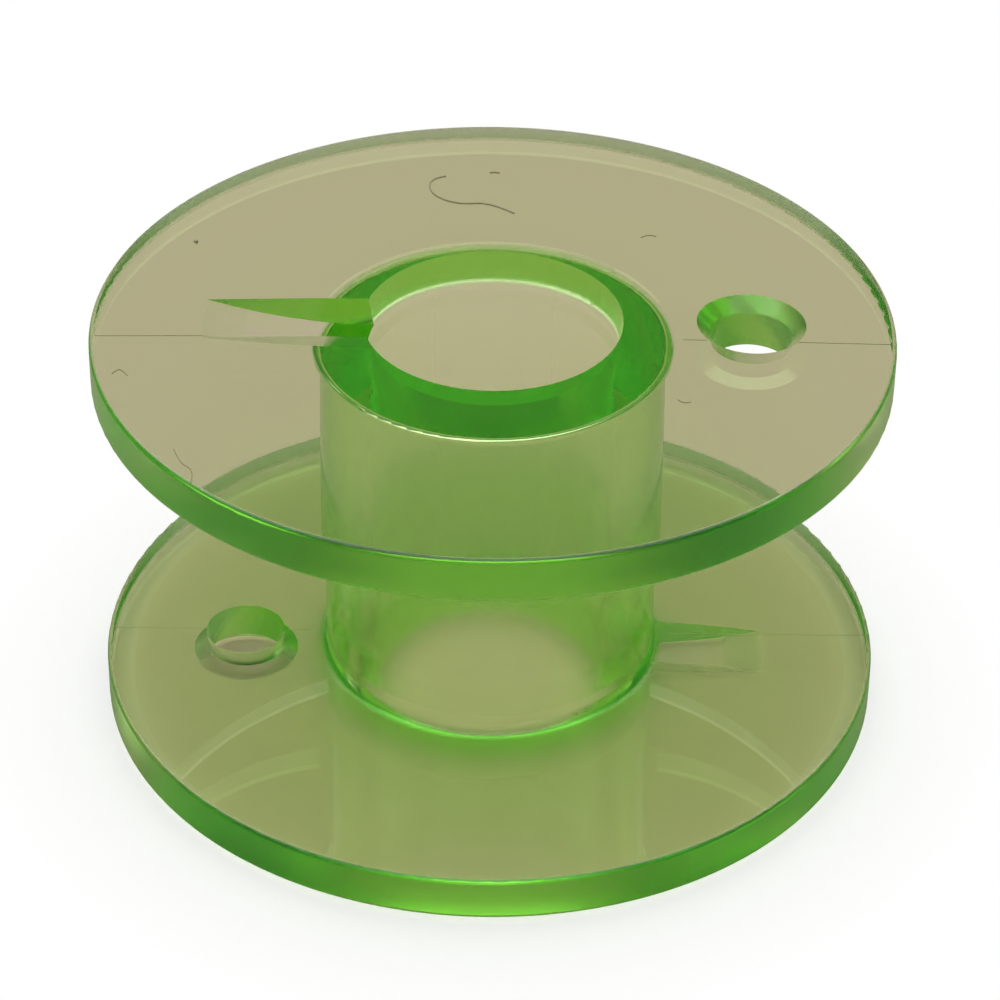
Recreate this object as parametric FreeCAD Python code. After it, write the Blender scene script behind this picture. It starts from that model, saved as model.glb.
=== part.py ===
import FreeCAD, Part
import math
import os

# Sewing machine bobbin, moulded in one piece from clear green plastic.
# Millimetres. The bore runs along +Z. The origin is the middle of the lower end land,
# the flat ring round the bore mouth that the bobbin stands on.
# The upper drive slot lies on -X and the upper thread hole on +X. The lower flange is the
# upper one turned half a turn about Y, so the bobbin is the same either way up.

# Whole bobbin
flange_diameter = 20.4
overall_height = 11.25
bore_diameter = 6.2
hub_wall = 1.25

# Flanges
rim_thickness = 1.2
face_fall = 0.15
rim_rounding = 0.12
hub_fillet = 0.3

# Slender conical lead-in at each bore mouth
lead_in_width = 0.2
lead_in_depth = 1.35

# Drive slot for the winder key, cut in each outer face from the bore outwards
slot_width = 1.8
slot_length = 4.2
slot_depth = 0.8
slot_floor_radius = 14.5

# Thread hole through each flange, placed as a share of the way from hub fillet to rim
hole_diameter = 2.1
hole_place_share = 0.34
hole_mouth_flare = 0.34

# Sizes that follow from the ones above
flange_radius = flange_diameter / 2
bore_radius = bore_diameter / 2
hub_radius = bore_radius + hub_wall
land_radius = hub_radius + hub_fillet
web_span = flange_radius - land_radius
land_thickness = rim_thickness + face_fall
slot_tip = bore_radius + slot_length
hole_place = land_radius + hole_place_share * web_span
hole_radius = hole_diameter / 2
half_height = overall_height / 2

middle = FreeCAD.Vector(0, 0, half_height)
bore_axis = FreeCAD.Vector(0, 0, 1)
turn_axis = FreeCAD.Vector(0, 1, 0)


def face_height(radius):
    """Height of the upper outer face: level on the end land, then falling to the rim."""
    fallen = max(0.0, radius - land_radius) / web_span
    return overall_height - face_fall * fallen


def lower_copy(upper):
    """The same thing on the lower flange, turned half a turn about Y."""
    turned = upper.copy()
    turned.rotate(middle, turn_axis, 180)
    return turned


def rounded_outline(corners):
    """Closed outline on +Y, where the seam of the turned faces meets no slot or hole.

    Each corner is a radius from the bore axis, a height and the rounding of the corner.
    """
    points = [FreeCAD.Vector(0, radius, height) for radius, height, rounding in corners]
    turns = []
    for i, point in enumerate(points):
        rounding = corners[i][2]
        back = (points[i - 1] - point).normalize()
        on = (points[(i + 1) % len(points)] - point).normalize()
        inward = (back + on).normalize()
        half_angle = back.getAngle(on) / 2
        reach = rounding / math.tan(half_angle)
        crown = point + inward * (rounding / math.sin(half_angle) - rounding)
        turns.append((point + back * reach, crown, point + on * reach))
    edges = []
    for i, (start, crown, end) in enumerate(turns):
        edges.append(Part.makeLine(turns[i - 1][2], start))
        if corners[i][2] > 0:
            edges.append(Part.Arc(start, crown, end).toShape())
    return Part.Wire(edges)


# Turned body: bore, hub and two flanges, from one half section
rim_top = face_height(flange_radius)
rim_under = rim_top - rim_thickness
upper_half = [
    (bore_radius, overall_height - lead_in_depth, 0),
    (bore_radius + lead_in_width, overall_height, 0),
    (land_radius, overall_height, 0),
    (flange_radius, rim_top, 0),
    (flange_radius, rim_under, 0),
    (hub_radius, rim_under, hub_fillet),
]
lower_half = [(r, overall_height - z, rounding) for r, z, rounding in reversed(upper_half)]
section = Part.Face(rounded_outline(upper_half + lower_half))
body = section.revolve(FreeCAD.Vector(0, 0, 0), bore_axis, 360)

# Rim edges, rounded alike on both flanges
rims = [e for e in body.Edges if isinstance(e.Curve, Part.Circle)]
rims = [e for e in rims if math.isclose(e.Curve.Radius, flange_radius)]
body = body.makeFillet(rim_rounding, rims)


def drive_slot():
    """Slot with upright sides and a hollow floor that runs out into the face at its tip."""
    deep = FreeCAD.Vector(-bore_radius, 0, overall_height - slot_depth)
    tip = FreeCAD.Vector(-slot_tip, 0, face_height(slot_tip))
    chord = tip - deep
    rise = math.sqrt(slot_floor_radius ** 2 - chord.Length ** 2 / 4)
    square = FreeCAD.Vector(chord.z, 0, -chord.x).normalize()
    centre = (deep + tip) * 0.5 + square * rise
    along = ((deep + tip) * 0.5 - centre).normalize()
    floor = Part.Arc(deep, centre + along * slot_floor_radius, tip).toShape()
    above = overall_height + slot_depth
    sides = Part.makePolygon([
        tip,
        FreeCAD.Vector(-slot_tip, 0, above),
        FreeCAD.Vector(0, 0, above),
        FreeCAD.Vector(0, 0, deep.z),
        deep,
    ])
    profile = Part.Face(Part.Wire([floor] + sides.Edges))
    profile.translate(FreeCAD.Vector(0, -slot_width / 2, 0))
    return profile.extrude(FreeCAD.Vector(0, slot_width, 0))


def thread_hole():
    """Plain round hole, square to the bore, taken right through the flange."""
    start = FreeCAD.Vector(hole_place, 0, rim_under - rim_thickness)
    return Part.makeCylinder(hole_radius, 3 * land_thickness, start, bore_axis)


upper_cuts = [drive_slot(), thread_hole()]
body = body.cut(upper_cuts + [lower_copy(c) for c in upper_cuts])


def hole_mouths(solid):
    """Edges where the two thread holes meet the outer faces."""
    near = hole_diameter / 100
    found = []
    for edge in solid.Edges:
        box = edge.BoundBox
        wide = abs(box.XLength - hole_diameter) < near and abs(box.YLength - hole_diameter) < near
        in_place = abs(abs(box.Center.x) - hole_place) < near
        outside = abs(box.Center.z - half_height) > half_height - land_thickness / 2
        if wide and in_place and outside:
            found.append(edge)
    return found


body = body.makeChamfer(hole_mouth_flare, hole_mouths(body))

bobbin = body.Solids[0]
os.makedirs("parts", exist_ok=True)
bobbin.exportStep("parts/bobbin.step")
print("bobbin", bobbin.ShapeType, bobbin.isValid(), round(bobbin.Volume, 1))
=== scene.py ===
import math

import bpy
from mathutils import Matrix, Vector


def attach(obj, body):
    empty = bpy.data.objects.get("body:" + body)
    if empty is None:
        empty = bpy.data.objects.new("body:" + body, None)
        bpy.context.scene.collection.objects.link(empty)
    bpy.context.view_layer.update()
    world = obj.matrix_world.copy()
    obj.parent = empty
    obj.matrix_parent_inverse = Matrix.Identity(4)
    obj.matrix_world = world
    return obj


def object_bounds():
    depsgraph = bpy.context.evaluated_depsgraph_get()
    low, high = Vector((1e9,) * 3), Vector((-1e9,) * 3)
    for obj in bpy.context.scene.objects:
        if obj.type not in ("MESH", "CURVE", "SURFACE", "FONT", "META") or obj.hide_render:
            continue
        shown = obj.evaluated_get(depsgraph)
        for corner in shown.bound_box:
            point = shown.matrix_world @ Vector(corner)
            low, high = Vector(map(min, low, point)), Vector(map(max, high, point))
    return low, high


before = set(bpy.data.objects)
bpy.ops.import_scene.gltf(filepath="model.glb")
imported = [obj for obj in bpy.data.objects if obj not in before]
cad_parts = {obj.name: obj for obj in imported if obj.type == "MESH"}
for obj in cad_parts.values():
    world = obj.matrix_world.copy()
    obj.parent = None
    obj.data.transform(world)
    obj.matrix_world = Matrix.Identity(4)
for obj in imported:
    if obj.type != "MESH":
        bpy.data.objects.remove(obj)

# Sewing machine bobbin: one moulding in clear green plastic, standing on pale paper.
# The frame is in metres. Sizes below are millimetres, taken to metres by mm.
cad_low, cad_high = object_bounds()
mm = 0.001
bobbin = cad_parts["bobbin"]
rim_radius = cad_high.x

# Camera: where it stood, and where the point it is set out from falls in the square picture
view_elevation = math.radians(35.06)
view_roll = math.radians(0.63)
view_distance = 97.19 * mm
picture_pixels = 1000
focal_pixels = 3719.7
aim_below_top = 5.5 * mm
aim_pixel = (491.18, 497.09)
sensor_width = 36.0
clip_ratio = 100

# Paper and light. The plastic shows the warm paper, and only a little of the white that the
# camera sees around it.
paper_gap = 0.02 * mm
paper_width = 900 * mm
paper_colour = "#D0B8AC"
paper_seen_within = 9.5 * mm
shadow_edge = 14 * mm
shadow_depth = 0.4
panel_width = 240 * mm
panel_height = 150 * mm
panel_back = 30 * mm
panel_radiance = 1.65
room_colour = "#FFF4E2"
room_strength = 0.18
white = "#FFFFFF"
white_in_plastic = 0.06
light_bounces = 14
paper_bounces = 1

# Plastic
dye_colour = "#BEF832"
dye_per_metre = 285.0
plastic_ior = 1.57

# Grain of the upright walls, each from a radius outwards, and the share of it at the front and
# sides. The level faces are polished.
hub_grain = (0.0 * mm, 0.4)
fillet_grain = (4.4 * mm, 0.5)
hole_grain = (5.0 * mm, 0.6)
rim_grain = (9.9 * mm, 0.8)
level_normal = 0.97
front_share_of_grain = 0.4
front_grain_y = 2.5 * mm
full_grain_y = 5.5 * mm

# Flash: a hair of plastic along the mould's parting line. It crosses both inner faces, but not
# the thread holes. Each run has its height and the two x it lies between, in millimetres.
flash_colour = "#A3AD74"
flash_roughness = 0.6
flash_thickness = 0.02 * mm
upper_inner_face = 9.9
lower_inner_face = 1.35
flash_runs = {
    "flash_upper_left": (upper_inner_face, -10.1, -4.8),
    "flash_upper_inside_hole": (upper_inner_face, 4.8, 5.4),
    "flash_upper_right": (upper_inner_face, 7.7, 10.1),
    "flash_lower_left": (lower_inner_face, -10.1, -7.7),
    "flash_lower_inside_hole": (lower_inner_face, -5.4, -4.8),
    "flash_lower_right": (lower_inner_face, 4.8, 10.1),
}

# Upper outer face, which the lint lies on: level round the bore, then falling to the rim
land_edge = 4.65 * mm
face_fall = 0.15 * mm

# Lint: how thick each bit is, and the way it lies, in millimetres from the bore axis
lint_colour = "#A29A7C"
lint_roughness = 0.9
fibre_thickness = 0.05 * mm
hair_thickness = 0.03 * mm
speck_thickness = 0.09 * mm
long_fibre = [
    (-1.31, 7.22), (-1.71, 7.1), (-1.75, 6.44), (-1.42, 5.95), (-0.86, 5.68), (-0.12, 5.8), (0.52, 5.22),
]
left_hook = [(-9.41, -2.52), (-9.33, -2.36), (-9.18, -2.34), (-9.03, -2.61)]
front_hook = [(-7.63, -5.82), (-7.44, -6.4), (-7.19, -6.57), (-7.09, -6.94), (-7.14, -7.2)]
back_hair = [(3.85, 4.08), (4.04, 4.3), (4.24, 4.16)]
near_hair = [(4.55, -3.57), (4.69, -3.77), (4.87, -3.64)]
back_speck = [(-0.12, 7.43), (0.01, 7.5), (0.12, 7.42)]
left_speck = [(-7.81, 3.74), (-7.78, 3.7), (-7.74, 3.68)]

# Threads of lint and flash: how finely they are rounded, and how smoothly they bend
thread_round_steps = 2
thread_curve_order = 3


def linear(hex_colour):
    """An sRGB hex colour as the linear RGBA that shaders take."""
    parts = [int(hex_colour[i:i + 2], 16) / 255 for i in (1, 3, 5)]
    return [p / 12.92 if p <= 0.04045 else ((p + 0.055) / 1.055) ** 2.4 for p in parts] + [1.0]


def new_material(name):
    """An empty node material and its output node."""
    material = bpy.data.materials.new(name)
    material.use_nodes = True
    material.node_tree.nodes.clear()
    return material, material.node_tree.nodes.new("ShaderNodeOutputMaterial")


def add_node(tree, kind, inputs=None, **settings):
    """One shader node. An input is a plain value, an output, or a node for its first output."""
    node = tree.nodes.new(kind)
    for name, value in settings.items():
        setattr(node, name, value)
    for name, value in (inputs or {}).items():
        if isinstance(value, bpy.types.Node):
            value = value.outputs[0]
        if isinstance(value, bpy.types.NodeSocket):
            tree.links.new(value, node.inputs[name])
        else:
            node.inputs[name].default_value = value
    return node


def grain_by_radius(tree, place):
    """Grain of the upright walls as steps: hub, fillets, slots and holes, rim."""
    across = add_node(tree, "ShaderNodeVectorMath", {0: place, 1: (1, 1, 0)}, operation="MULTIPLY")
    radius = add_node(tree, "ShaderNodeVectorMath", {0: across}, operation="LENGTH")
    share = add_node(tree, "ShaderNodeMath", {
        0: radius.outputs["Value"],
        1: rim_radius,
    }, operation="DIVIDE")
    ramp = add_node(tree, "ShaderNodeValToRGB", {0: share})
    walls = (hub_grain, fillet_grain, hole_grain, rim_grain)
    steps = ramp.color_ramp.elements
    while len(steps) < len(walls):
        steps.new(1.0)
    for step, (start, grain) in zip(steps, walls):
        step.position = start / rim_radius
        step.color = (grain, grain, grain, 1.0)
    ramp.color_ramp.interpolation = "CONSTANT"
    return ramp


def mould_grain(tree):
    """Roughness of the moulding: nothing on level faces, and the full grain of the walls at the back."""
    place = add_node(tree, "ShaderNodeTexCoord").outputs
    facing = add_node(tree, "ShaderNodeSeparateXYZ", {0: place["Normal"]}).outputs["Z"]
    tilt = add_node(tree, "ShaderNodeMath", {0: facing}, operation="ABSOLUTE")
    upright = add_node(tree, "ShaderNodeMath", {0: tilt, 1: level_normal}, operation="LESS_THAN")
    share_of_grain = add_node(tree, "ShaderNodeMapRange", {
        "Value": add_node(tree, "ShaderNodeSeparateXYZ", {0: place["Object"]}).outputs["Y"],
        "From Min": front_grain_y,
        "From Max": full_grain_y,
        "To Min": front_share_of_grain,
        "To Max": 1.0,
    })
    wall = add_node(tree, "ShaderNodeMath", {
        0: grain_by_radius(tree, place["Object"]),
        1: share_of_grain,
    }, operation="MULTIPLY")
    return add_node(tree, "ShaderNodeMath", {0: wall, 1: upright}, operation="MULTIPLY")


def clear_green_polystyrene():
    """Dyed right through: a thin stretch looks nearly clear, and a long way through it deep green.

    The polished faces keep light in like a window's edge, and the grained rims let it out as a glow.
    """
    material, output = new_material("clear_green_polystyrene_moulded")
    tree = material.node_tree
    surface = add_node(tree, "ShaderNodeBsdfPrincipled", {
        "Base Color": linear(white),
        "Roughness": mould_grain(tree),
        "IOR": plastic_ior,
        "Transmission Weight": 1.0,
    })
    dye = add_node(tree, "ShaderNodeVolumeAbsorption", {
        "Color": linear(dye_colour),
        "Density": dye_per_metre,
    })
    tree.links.new(surface.outputs["BSDF"], output.inputs["Surface"])
    tree.links.new(dye.outputs["Volume"], output.inputs["Volume"])
    return material


def dull_material(name, colour, roughness):
    """A plain dull surface in one colour."""
    material, output = new_material(name)
    tree = material.node_tree
    surface = add_node(tree, "ShaderNodeBsdfPrincipled", {
        "Base Color": linear(colour),
        "Roughness": roughness,
    })
    tree.links.new(surface.outputs["BSDF"], output.inputs["Surface"])
    return material


bobbin.data.materials.clear()
bobbin.data.materials.append(clear_green_polystyrene())


def face_height(x, y):
    """Height of the upper outer face above the paper."""
    outwards = max(0.0, math.hypot(x, y) - land_edge)
    return cad_high.z - face_fall * outwards / (rim_radius - land_edge)


def thread_along(name, thickness, points, material):
    """One fine round thread along a smooth line."""
    curve = bpy.data.curves.new(name, "CURVE")
    curve.dimensions = "3D"
    curve.bevel_depth = thickness / 2
    curve.bevel_resolution = thread_round_steps
    spline = curve.splines.new("NURBS")
    spline.points.add(len(points) - 1)
    for spot, point in zip(spline.points, points):
        spot.co = (*point, 1.0)
    spline.order_u = thread_curve_order
    spline.use_endpoint_u = True
    curve.materials.append(material)
    thread = bpy.data.objects.new(name, curve)
    bpy.context.scene.collection.objects.link(thread)
    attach(thread, "root")
    return thread


def lay_lint():
    """Bits of cotton on the upper face. Loose fibres are matt and a little darker than the paper."""
    cotton = dull_material("cotton_lint_loose", lint_colour, lint_roughness)
    bits = {
        "long_fibre": (fibre_thickness, long_fibre),
        "left_hook": (hair_thickness, left_hook),
        "front_hook": (hair_thickness, front_hook),
        "back_hair": (hair_thickness, back_hair),
        "near_hair": (hair_thickness, near_hair),
        "back_speck": (fibre_thickness, back_speck),
        "left_speck": (speck_thickness, left_speck),
    }
    for name, (thickness, way) in bits.items():
        spots = [(x * mm, y * mm) for x, y in way]
        points = [(x, y, face_height(x, y) + thickness / 2) for x, y in spots]
        thread_along(name, thickness, points, cotton)


def run_flash():
    """Flash from the parting line. It is too thin to look clear, and shows as a pale green hair."""
    thin_plastic = dull_material("green_polystyrene_flash", flash_colour, flash_roughness)
    for name, (height, start, end) in flash_runs.items():
        points = [(x * mm, 0, height * mm) for x in (start, end)]
        hair = thread_along(name, flash_thickness, points, thin_plastic)


lay_lint()
run_flash()


def white_seen(tree):
    """How much of the white surroundings a ray sees: all from the camera, a little in the plastic."""
    rays = add_node(tree, "ShaderNodeLightPath").outputs
    bent = add_node(tree, "ShaderNodeMath", {
        0: rays["Is Glossy Ray"],
        1: rays["Is Transmission Ray"],
    }, operation="MAXIMUM")
    share = add_node(tree, "ShaderNodeMath", {0: bent, 1: white_in_plastic}, operation="MULTIPLY")
    return add_node(tree, "ShaderNodeMath", {0: rays["Is Camera Ray"], 1: share}, operation="MAXIMUM")


def pale_paper():
    """Uncoated paper: warm where it shows through the plastic, white with a soft shadow around it."""
    material, output = new_material("pale_uncoated_paper")
    tree = material.node_tree
    place = add_node(tree, "ShaderNodeTexCoord").outputs["Object"]
    radius = add_node(tree, "ShaderNodeVectorMath", {0: place}, operation="LENGTH").outputs["Value"]
    outside = add_node(tree, "ShaderNodeMath", {0: radius, 1: paper_seen_within}, operation="GREATER_THAN")
    shadow = add_node(tree, "ShaderNodeMapRange", {
        "Value": radius,
        "From Min": paper_seen_within,
        "From Max": shadow_edge,
        "To Min": shadow_depth,
        "To Max": 0.0,
    })
    around = add_node(tree, "ShaderNodeMixShader", {
        0: shadow,
        1: add_node(tree, "ShaderNodeEmission", {"Color": linear(white), "Strength": 1.0}),
        2: add_node(tree, "ShaderNodeBsdfDiffuse", {"Color": linear(white)}),
    })
    mix = add_node(tree, "ShaderNodeMixShader", {
        0: add_node(tree, "ShaderNodeMath", {0: white_seen(tree), 1: outside}, operation="MULTIPLY"),
        1: add_node(tree, "ShaderNodeBsdfDiffuse", {"Color": linear(paper_colour)}),
        2: around,
    })
    tree.links.new(mix.outputs[0], output.inputs["Surface"])
    return material


def lay_paper():
    """The sheet that the bobbin stands on."""
    bpy.ops.mesh.primitive_plane_add(size=paper_width, location=(0, 0, -paper_gap))
    sheet = bpy.context.object
    sheet.name = "paper_floor"
    sheet.data.materials.append(pale_paper())


def white_studio():
    """A dim warm room, white where the camera looks past the paper."""
    world = bpy.data.worlds.new("white_studio")
    world.use_nodes = True
    tree = world.node_tree
    tree.nodes.clear()
    room = add_node(tree, "ShaderNodeBackground", {
        "Color": linear(room_colour),
        "Strength": room_strength,
    })
    sky = add_node(tree, "ShaderNodeMixShader", {
        0: white_seen(tree),
        1: room,
        2: add_node(tree, "ShaderNodeBackground", {"Color": linear(white), "Strength": 1.0}),
    })
    add_node(tree, "ShaderNodeOutputWorld", {"Surface": sky})
    bpy.context.scene.world = world


def soft_panel():
    """One large square lamp overhead."""
    lamp = bpy.data.lights.new("overhead_panel", "AREA")
    lamp.shape = "SQUARE"
    lamp.size = panel_width
    lamp.energy = panel_radiance * math.pi * panel_width ** 2
    holder = bpy.data.objects.new("overhead_panel", lamp)
    bpy.context.scene.collection.objects.link(holder)
    holder.location = (0, panel_back, panel_height)


def photograph_camera():
    """The camera of the photograph, set out from a point on the bore axis."""
    data = bpy.data.cameras.new("camera")
    data.sensor_width = sensor_width
    data.lens = sensor_width * focal_pixels / picture_pixels
    data.clip_start = view_distance / clip_ratio
    data.clip_end = view_distance * clip_ratio
    camera = bpy.data.objects.new("camera", data)
    bpy.context.scene.collection.objects.link(camera)
    back = Vector((0, -math.cos(view_elevation), math.sin(view_elevation)))
    aim = (-back).to_track_quat("-Z", "Y").to_matrix().to_4x4()
    off_right = math.atan((aim_pixel[0] - picture_pixels / 2) / focal_pixels)
    off_down = math.atan((aim_pixel[1] - picture_pixels / 2) / focal_pixels)
    turn = Matrix.Rotation(off_right, 4, "Y") @ Matrix.Rotation(off_down, 4, "X")
    roll = Matrix.Rotation(view_roll, 4, "Z")
    aimed_at = Vector((0, 0, cad_high.z - aim_below_top))
    camera.matrix_world = Matrix.Translation(aimed_at + back * view_distance) @ aim @ roll @ turn
    bpy.context.scene.camera = camera


lay_paper()
white_studio()
soft_panel()
photograph_camera()

scene = bpy.context.scene
scene.view_settings.view_transform = "Standard"
scene.cycles.max_bounces = light_bounces
scene.cycles.glossy_bounces = light_bounces
scene.cycles.transmission_bounces = light_bounces
scene.cycles.diffuse_bounces = paper_bounces
scene.cycles.blur_glossy = 0.0
